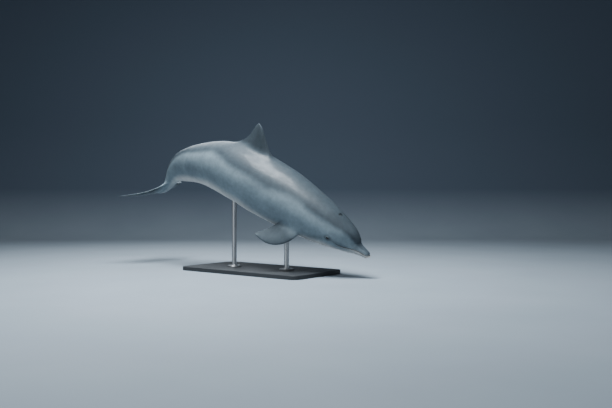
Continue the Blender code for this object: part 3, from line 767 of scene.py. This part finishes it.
def mouth_and_folds(points, normals):
    """Deepens the line of the mouth and lays the folds of head and throat, the belly's navel and slits and
    the ear pit.
    """
    places = BodyPlaces(points)
    s = places.s
    lower = places.height - mouth_at(s)
    inside = 1 - fade(s, MOUTH_CORNER - 0.012, MOUTH_CORNER + 0.004)
    head = 1 - fade(s, 0.29, 0.35)
    slit = 0.0030 * np.exp(-np.abs(lower / 0.0016) ** 2.5) * inside
    lips = 0.0009 * bell(lower, 0.0058, 0.0026) + 0.0012 * bell(lower, -0.0060, 0.0028)
    chin = 0.0010 * bell(lower, -0.0150, 0.0040) * (1 - fade(s, 0.15, 0.22))
    move = (lips * inside - slit - chin) * head
    corner = np.hypot(s - MOUTH_CORNER - 0.002, lower * 1.3)
    behind = fade(s, MOUTH_CORNER - 0.004, MOUTH_CORNER + 0.010)
    move -= behind * (0.0012 * bell(corner, 0.011, 0.0022) + 0.0008 * bell(corner, 0.021, 0.0030))
    crease = CREASE - 0.006 + CREASE_SWEEP * fade(places.angle, 0.35, 1.05)
    over_beak = 1 - fade(places.angle, 0.95, 1.35)
    move -= 0.0020 * bell(s, crease, 0.0045) * over_beak
    throat = fade(places.angle, 1.75, 2.2)
    for k, at in enumerate(THROAT_FOLDS):
        bent = at + 0.020 * (1 - fade(places.angle, 1.7, 2.6)) + 0.004 * np.sin(9 * places.angle + k)
        move -= 0.0011 * bell(s, bent, 0.0045) * throat
    under = fade(places.angle, 2.6, 2.9)
    for middle, half, width, depth in BELLY_MARKS:
        along = np.abs(s - middle) / half
        line = np.exp(-((places.side / (width * np.sqrt(np.clip(1.1 - along, 0.05, 1.0)))) ** 2))
        rim = bell(np.abs(places.side), 2.2 * width, width)
        move += under * (1 - fade(along, 0.80, 1.05)) * (0.35 * rim - line) * depth
    ear_s, ear_angle = EYE_AT + EAR_BEHIND, EYE_ANGLE + EAR_BELOW
    reach = np.hypot(s - ear_s, (places.angle - ear_angle) * half_width(ear_s))
    move -= 0.0018 * bell(reach, 0.0, 0.0035)
    return points + normals * move[:, None]


# The colours of the hide


def toward(colour, other, share):
    """Each colour moved toward another by its share."""
    return colour + (np.array(other) - colour) * share[:, None]


def darker(colour, share):
    return colour * (1 - share)[:, None]


def hide_colours(points, places, on_fin):
    """The colour of each point of the hide, with painted shade along the line of the mouth and round the
    blowhole, and how much of it is the pale belly.
    """
    s, angle = places.s, places.angle
    over_mouth = places.height - mouth_at(s)
    waver = 0.07 * np.sin(7.1 * s + 1.3) + 0.05 * np.sin(15.7 * s + 0.4)
    cape_edge = 0.92 + waver - 0.30 * fade(s, 1.25, 1.9) + 0.20 * bell(s, 1.15, 0.22)
    cape_edge = cape_edge - 0.25 * (1 - fade(s, 0.16, 0.32))
    belly_edge = 2.22 + 0.6 * waver + 0.30 * fade(s, 1.5, 2.1) - 0.20 * (1 - fade(s, 0.30, 0.60))
    dark = 1 - fade(angle, cape_edge - 0.16, cape_edge + 0.20)
    pale = fade(angle, belly_edge - 0.26, belly_edge + 0.34)
    fin = fade(on_fin, 0.02, 0.30)
    pale = pale * (1 - 0.75 * fade(s, 1.95, 2.25)) * (1 - fin)
    colour = toward(np.array(FLANK), CAPE, dark)
    colour = toward(colour, BELLY, pale)
    beak = 1 - fade(s, CREASE - 0.01, CREASE + 0.03)
    upper = fade(over_mouth, 0.001, 0.010)
    colour = toward(colour, np.array(CAPE) * BEAK_LIFT, beak * upper * 0.75)
    jaw = (1 - fade(s, 0.05, 0.20)) * (1 - upper)
    colour = toward(colour, LIP_PALE, jaw * 0.85)
    lip = bell(over_mouth, -0.005, 0.004) * (1 - fade(s, MOUTH_CORNER - 0.055, MOUTH_CORNER + 0.005))
    colour = toward(colour, LIP_PALE, lip * 0.55)
    # Painted shade: the hide is darkened along the sunk line of the mouth, where the lips meet.
    slit = bell(over_mouth, 0.0, 0.0016) * (1 - fade(s, MOUTH_CORNER - 0.01, MOUTH_CORNER + 0.004))
    colour = darker(colour, 0.80 * slit)
    for side in (1, -1):
        a, b, n = eye_coordinates(points, side)
        near = np.hypot(a / 1.35, b)
        patch = (1 - fade(near, 0.011, 0.030)) * fade(n, -0.03, 0.0)
        colour = darker(colour, 0.50 * patch)
        stripe = bell(b, 0.10 * a, 0.010 + 0.05 * np.abs(a)) * fade(-a, 0.012, 0.03)
        stripe = stripe * (1 - fade(-a, 0.10, 0.20)) * fade(n, -0.12, -0.02)
        colour = darker(colour, 0.28 * stripe)
        rear = bell(b, -0.55 * a, 0.022) * fade(a, 0.015, 0.04)
        rear = rear * (1 - fade(a, 0.14, 0.24)) * fade(n, -0.10, 0.0)
        colour = darker(colour, 0.25 * rear)
    colour = toward(colour, FIN_DARK, fin * 0.86)
    # Painted shade: the hide is darkened in and round the sunk crescent of the blowhole.
    hole = np.hypot(places.side / 1.4, s - BLOWHOLE_AT - 0.006)
    rim = (1 - fade(hole, 0.006, 0.022)) * fade(places.height, 0.05, 0.1)
    return darker(colour, 0.45 * rim), pale


def wrinkle_share(points, places):
    """Where fine wrinkles show: round the eyes and at the neck."""
    share = 0.35 * bell(places.s, 0.46, 0.10)
    for side in (1, -1):
        a, b, _ = eye_coordinates(points, side)
        share = np.maximum(share, 1 - fade(np.hypot(a, b), 0.012, 0.055))
    return share


def skin():
    """The whole hide as one surface over the solids."""
    cage, on_fin = build_cage()
    mesh = cage.smoothed_mesh(3, on_fin)
    shape = bmesh.new()
    shape.from_mesh(mesh)
    for side in (1, -1):
        open_eye(shape, side)
    middle = spine(BLOWHOLE_AT + 0.006)
    nostril = middle[0] + middle[2] * top_height(BLOWHOLE_AT)
    refine(shape, lambda centre: (centre - nostril).length < 0.040, cuts=6)
    for at, half, *_ in BELLY_MARKS:
        belly = skin_point(at, pi)
        reach = half + 0.015
        refine(shape, lambda centre: (centre - belly).length < reach and abs(centre.y) < 0.018, cuts=5)
    bmesh.ops.recalc_face_normals(shape, faces=shape.faces)
    shape.to_mesh(mesh)
    shape.free()
    for change in (blowhole_cut, mouth_and_folds):
        set_points(mesh, change(read(mesh.vertices, "co"), read(mesh.vertex_normals, "vector")))
    points = read(mesh.vertices, "co")
    places = BodyPlaces(points)
    on_fin = read(mesh.attributes["on_fin"].data, "value", 1)[:, 0]
    colour, pale = hide_colours(points, places, on_fin)
    store_colour(mesh, "coat", colour)
    store(mesh, "pale", pale)
    store(mesh, "wrinkled", wrinkle_share(points, places))
    store(mesh, "scratched", fade(places.s, 0.42, 0.62) * (1 - pale))
    mesh.transform(POSE)
    mesh.shade_smooth()
    mesh.materials.append(skin_finish())
    made = new_object("skin", mesh)
    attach(made, "root")
    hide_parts(*FLESH)


# Materials


class Finish:
    """A material with short calls to add and join its nodes."""

    def __init__(self, name):
        self.material = bpy.data.materials.new(name)
        self.material.use_nodes = True
        self.tree = self.material.node_tree
        self.shader = self.tree.nodes["Principled BSDF"]

    def fill(self, inputs, values):
        for key, value in values.items():
            if isinstance(value, bpy.types.NodeSocket):
                self.tree.links.new(value, inputs[key])
            else:
                inputs[key].default_value = value

    def join(self, values):
        self.fill(self.shader.inputs, values)

    def node(self, kind, output, values, **settings):
        """Adds a node with these inputs and settings, and gives one output."""
        made = self.tree.nodes.new("ShaderNode" + kind)
        for key, value in settings.items():
            setattr(made, key, value)
        self.fill(made.inputs, values)
        return made.outputs[output]

    def stored(self, name, output="Fac"):
        return self.node("Attribute", output, {}, attribute_name=name)

    def place(self, **mapping):
        """Object coordinates, mapped."""
        mapping["Vector"] = self.node("TexCoord", "Object", {})
        return self.node("Mapping", "Vector", mapping)

    def noise(self, scale, detail=3.0, rough=0.5, stretch=(1, 1, 1), distortion=0.0):
        values = {"Vector": self.place(Scale=stretch), "Scale": scale, "Detail": detail}
        values |= {"Roughness": rough, "Distortion": distortion}
        return self.node("TexNoise", "Fac", values)

    def spread(self, value, low, high, start=0.0, end=1.0):
        """The value's range low to high, mapped to start to end and held there."""
        values = {"Value": value, "From Min": low, "From Max": high, "To Min": start, "To Max": end}
        return self.node("MapRange", "Result", values)

    def maths(self, operation, a, b):
        return self.node("Math", 0, {0: a, 1: b}, operation=operation)

    def times(self, a, b):
        return self.maths("MULTIPLY", a, b)

    def mix(self, share, a, b, blend="MIX"):
        values = {0: share, 6: a, 7: b}
        return self.node("Mix", 2, values, data_type="RGBA", blend_type=blend)

    def bump(self, height, distance, before=None):
        values = {"Height": height, "Distance": distance, "Strength": 1.0}
        if before is not None:
            values["Normal"] = before
        return self.node("Bump", "Normal", values)


def rake_marks(made, turn, low, high):
    """Groups of faint parallel scratches, where a slow noise lies between low and high."""
    values = {"Vector": made.place(Rotation=(0, turn, 0)), "Scale": 22.0}
    values |= {"Distortion": 1.2, "Detail": 1.0, "Detail Scale": 0.25}
    bands = made.node("TexWave", "Fac", values, wave_type="BANDS", bands_direction="Z")
    patches = made.spread(made.noise(5.0, 1.0), low, high)
    return made.times(made.times(made.spread(bands, 0.955, 0.990), patches), 0.20)


def skin_finish():
    made = Finish("dolphin_skin")
    colour = made.stored("coat", "Color")
    pale = made.stored("pale")
    cloud = made.spread(made.noise(5.5, 4.0, 0.55, distortion=0.4), 0.35, 0.65)
    mottle = made.spread(made.noise(34.0, 5.0, 0.62), 0.38, 0.66)
    fleck = made.spread(made.noise(160.0, 2.0, 0.5), 0.30, 0.70)
    for share, spots, dark, light in (
        (0.30, cloud, (0.55, 0.56, 0.58, 1), (1.30, 1.30, 1.28, 1)),
        (0.22, mottle, (0.60, 0.61, 0.63, 1), (1.28, 1.28, 1.27, 1)),
        (0.10, fleck, (0.70, 0.70, 0.72, 1), (1.2, 1.2, 1.2, 1)),
    ):
        colour = made.mix(share, colour, made.mix(spots, dark, light), "MULTIPLY")
    scratched = made.stored("scratched")
    for turn, low, high in ((0.75, 0.66, 0.72), (-0.35, 0.34, 0.28)):
        share = made.times(rake_marks(made, turn, low, high), scratched)
        colour = made.mix(share, colour, (0.30, 0.34, 0.36, 1))
    blush = made.times(pale, made.spread(made.noise(7.0, 3.0), 0.50, 0.70))
    colour = made.mix(made.times(blush, 0.30), colour, (0.60, 0.50, 0.47, 1))
    rough = made.spread(made.noise(22.0, 4.0), 0.30, 0.70, 0.42, 0.58)
    swell = made.bump(made.noise(9.0, 3.0), 0.0020)
    folds = made.noise(70.0, 4.0, 0.6, stretch=(1.0, 0.35, 1.0), distortion=0.5)
    wrinkles = made.times(folds, made.stored("wrinkled"))
    creased = made.bump(wrinkles, 0.0016, swell)
    pores = made.bump(made.noise(420.0, 3.0, 0.55), 0.00018, creased)
    made.join({"Base Color": colour, "Roughness": rough, "Normal": pores})
    made.join({"Specular IOR Level": 0.26, "Coat Weight": 0.10, "Coat Roughness": 0.16})
    made.join({"Subsurface Weight": 0.04, "Subsurface Radius": (0.006, 0.004, 0.003)})
    return made.material


# The eyeballs


def eye(name, side):
    """An eyeball with a clear bulge in front, its pole looking outward."""
    middle, outward, _, upward = eye_frame(side)
    turn = Matrix((upward.cross(outward), upward, outward)).transposed().to_4x4()
    shape = bmesh.new()
    bmesh.ops.create_uvsphere(shape, u_segments=64, v_segments=48, radius=EYE_RADIUS)
    mesh = mesh_from(shape, name)
    points = read(mesh.vertices, "co")
    off = np.hypot(points[:, 0], points[:, 1])
    front = points[:, 2] > 0
    bulge = 1 + 0.045 * front * (1 - fade(off, 0.0035, 0.0090))
    oval = np.hypot(points[:, 0] / 1.45, points[:, 1] + 0.25 * np.abs(points[:, 0]))
    in_iris = 1 - fade(off, 0.0068, 0.0080)
    colour = toward(np.array(EYE_WHITE), IRIS_RING, 1 - fade(off, 0.0078, 0.0098))
    colour = toward(colour, IRIS, in_iris)
    streak = 0.80 + 0.30 * np.sin(23 * np.arctan2(points[:, 1], points[:, 0])) ** 2
    colour = darker(colour, (1 - streak) * in_iris)
    colour = toward(colour, PUPIL, 1 - fade(oval, 0.0026, 0.0034))
    set_points(mesh, points * bulge[:, None])
    store_colour(mesh, "iris", colour)
    mesh.transform(POSE @ Matrix.Translation(middle) @ turn)
    mesh.shade_smooth()
    made = new_object(name + "_wet", mesh)
    finish = Finish(name + "_finish")
    iris = finish.stored("iris", "Color")
    finish.join({"Base Color": iris, "Roughness": 0.45, "Specular IOR Level": 0.1})
    finish.join({"Coat Weight": 1.0, "Coat Roughness": 0.02})
    finish.join({"Normal": finish.bump(finish.noise(900.0), 0.00004)})
    mesh.materials.append(finish.material)
    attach(made, "root")
    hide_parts(name)


# The stand


def polar(middle, radius, turn, height):
    return middle[0] + radius * cos(turn), middle[1] + radius * sin(turn), height


def circle(radius, height, count=96, middle=(0.0, 0.0)):
    return [polar(middle, radius, a, height) for a in np.arange(count) * 2 * pi / count]


def hexagon(reach, height, middle, count=24):
    """A hexagon's outline with as many points as a circle, reach being half its width across flats."""
    turns = np.arange(count) * 2 * pi / count
    radii = reach / np.cos((turns + pi / 6) % (pi / 3) - pi / 6)
    return [polar(middle, radius, a, height) for radius, a in zip(radii, turns)]


def rounded_slab(half_x, half_y, corner, height, count=20):
    """The outline of a plate with round corners."""
    points = []
    for k, (x, y) in enumerate(((1, 1), (-1, 1), (-1, -1), (1, -1))):
        middle = (x * (half_x - corner), y * (half_y - corner))
        points += [polar(middle, corner, a, height) for a in (k + np.linspace(0, 1, count)) * pi / 2]
    return points


def stack(shape, rings):
    """A closed body through a stack of rings with the same number of points."""
    loops = [[shape.verts.new(point) for point in ring] for ring in rings]
    for low, high in zip(loops, loops[1:]):
        for k in range(len(low)):
            n = (k + 1) % len(low)
            shape.faces.new((low[k], low[n], high[n], high[k]))
    shape.faces.new(loops[0][::-1])
    shape.faces.new(loops[-1])


def dress(node, build, finish):
    """Puts a piece made by build(shape, size) over a solid of the stand, from the foot of its box."""
    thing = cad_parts[node]
    corners = np.array([thing.matrix_world @ Vector(corner) for corner in thing.bound_box])
    low, high = corners.min(axis=0), corners.max(axis=0)
    shape = bmesh.new()
    build(shape, high - low)
    bmesh.ops.recalc_face_normals(shape, faces=shape.faces)
    mesh = mesh_from(shape, node)
    mesh.shade_smooth()
    mesh.set_sharp_from_angle(angle=radians(35))
    mesh.materials.append(finish)
    made = new_object(node + "_dressed", mesh)
    made.location = ((low[0] + high[0]) / 2, (low[1] + high[1]) / 2, low[2])
    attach(made, "root")
    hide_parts(node)


def rod(shape, size):
    """A turned rod with a flange, a fillet between them and four socket screws."""
    flange, top = size[0] / 2, size[2]
    profile = [(flange - 0.001, 0.0), (flange, 0.001)]
    profile += [(flange, FLANGE_HEIGHT - 0.0015), (flange - 0.0015, FLANGE_HEIGHT)]
    for a in np.linspace(0, pi / 2, 7):
        profile.append((ROD_RADIUS + FILLET * (1 - sin(a)), FLANGE_HEIGHT + FILLET * (1 - cos(a))))
    profile += [(ROD_RADIUS, top - 0.001), (ROD_RADIUS - 0.001, top)]
    stack(shape, [circle(*point) for point in profile])
    outer = [(SCREW_RADIUS, -0.0005), (SCREW_RADIUS, SCREW_HEIGHT - 0.0006)]
    outer.append((SCREW_RADIUS - 0.0006, SCREW_HEIGHT))
    for a in (0.25, 0.75, 1.25, 1.75):
        at = polar((0.0, 0.0), SCREW_CIRCLE, a * pi, 0.0)
        head = [circle(radius, FLANGE_HEIGHT + up, 24, at) for radius, up in outer]
        socket = [hexagon(SOCKET_HALF, FLANGE_HEIGHT + up, at) for up in (SCREW_HEIGHT, -0.0002)]
        stack(shape, head + socket)


def base(shape, size):
    """A plate with round corners and softly rounded edges."""
    edge = [(0.001, 0.0), (0.0, 0.001)]
    for a in np.linspace(0, pi / 2, 7):
        edge.append((BASE_EDGE * (1 - cos(a)), size[2] - BASE_EDGE * (1 - sin(a))))
    loops = []
    for inset, up in edge:
        loops.append(rounded_slab(size[0] / 2 - inset, size[1] / 2 - inset, BASE_CORNER - inset, up))
    stack(shape, loops)


def stand():
    steel = Finish("brushed_rod")
    grain = steel.noise(60.0, 4.0, 0.7, stretch=(14.0, 14.0, 0.5))
    smear = steel.spread(steel.noise(9.0, 4.0, 0.6), 0.35, 0.65)
    rough = steel.maths("ADD", steel.spread(grain, 0.3, 0.7, 0.22, 0.34), steel.times(smear, 0.08))
    steel.join({"Base Color": steel.mix(grain, *STEEL_TONES), "Metallic": 1.0})
    steel.join({"Roughness": rough, "Normal": steel.bump(grain, 0.00008)})
    coat = Finish("powder_coat")
    wear = coat.spread(coat.noise(4.0, 4.0, 0.6), 0.35, 0.65)
    rough = coat.spread(wear, 0.0, 1.0, 0.42, 0.52)
    coat.join({"Base Color": coat.mix(wear, *COAT_TONES), "Roughness": rough})
    coat.join({"Normal": coat.bump(coat.noise(700.0, 2.0), 0.00025)})
    for name in ("stand_rod_front", "stand_rod_rear"):
        dress(name, rod, steel.material)
    dress("stand_base", base, coat.material)


# Floor, lights and camera


def floor():
    """A plain pale floor that runs up into a darker backdrop."""
    profile = [(-FLOOR_FRONT, 0.0), (FLOOR_BACK, 0.0)]
    for a in np.linspace(0.1, pi / 2, 12):
        out, up = BACKDROP_BEND * sin(a), BACKDROP_BEND - BACKDROP_BEND * cos(a)
        profile.append((FLOOR_BACK + out, up))
    profile.append((FLOOR_BACK + BACKDROP_BEND, BACKDROP_TOP))
    shape = bmesh.new()
    rails = []
    for aside in (-FLOOR_HALF, FLOOR_HALF):
        points = [RIGHT * aside + FORWARD * ahead + Vector((0, 0, z)) for ahead, z in profile]
        rails.append([shape.verts.new(point) for point in points])
    for k in range(len(profile) - 1):
        shape.faces.new((rails[0][k], rails[1][k], rails[1][k + 1], rails[0][k + 1]))
    mesh = mesh_from(shape, "floor")
    mesh.shade_smooth()
    pale = Finish("pale_floor")
    ground = pale.mix(pale.noise(1.4, 3.0, 0.5), *FLOOR_TONES)
    height = pale.node("SeparateXYZ", "Z", {"Vector": pale.place()})
    tone = pale.mix(pale.spread(height, 0.0, 0.8), ground, BACKDROP_TONE)
    pale.join({"Base Color": tone, "Roughness": 0.80})
    mesh.materials.append(pale.material)
    new_object("floor", mesh)


def lights():
    """Three soft lamps, the strongest high over the animal, and a faint light from all round."""
    for name, place, size, power in (
        ("key", Vector((0.5, -0.95, 3.9)), 1.9, 320),
        ("fill", -FORWARD * 3.5 + RIGHT * -2.5 + Vector((0, 0, 1.6)), 3.0, 20),
        ("rim", FORWARD * 2.5 + RIGHT * -1.0 + Vector((0, 0, 3.0)), 2.0, 45),
    ):
        light = bpy.data.lights.new(name, "AREA")
        light.size = size
        light.energy = power
        light.color = LAMP_TONE
        lamp = new_object(name, light)
        lamp.location = place
        lamp.rotation_euler = (place - LIT_POINT).to_track_quat("Z", "Y").to_euler()
    world = bpy.data.worlds.new("studio")
    world.use_nodes = True
    air = world.node_tree.nodes["Background"].inputs
    air["Color"].default_value = AIR_TONE
    air["Strength"].default_value = 0.24
    bpy.context.scene.world = world
    bpy.context.scene.view_settings.look = "AgX - Medium High Contrast"


def camera():
    """A level camera that shows the beak tip at its place in the photo."""
    upward = Vector((0, 0, 1))
    lens = bpy.data.cameras.new("camera")
    lens.sensor_width = SENSOR
    lens.lens = SENSOR * FOCAL_PIXELS / PHOTO_SIZE[0]
    made = new_object("camera", lens)
    aside = (TIP_PIXEL[0] - PHOTO_SIZE[0] / 2) / FOCAL_PIXELS * VIEW_DISTANCE
    below = (TIP_PIXEL[1] - PHOTO_SIZE[1] / 2) / FOCAL_PIXELS * VIEW_DISTANCE
    turn = Matrix((RIGHT, upward, -FORWARD)).transposed().to_4x4()
    turn.translation = BEAK_TIP - FORWARD * VIEW_DISTANCE - RIGHT * aside + upward * below
    made.matrix_world = turn
    bpy.context.scene.camera = made


skin()
eye("eye_left", 1)
eye("eye_right", -1)
stand()
floor()
lights()
camera()
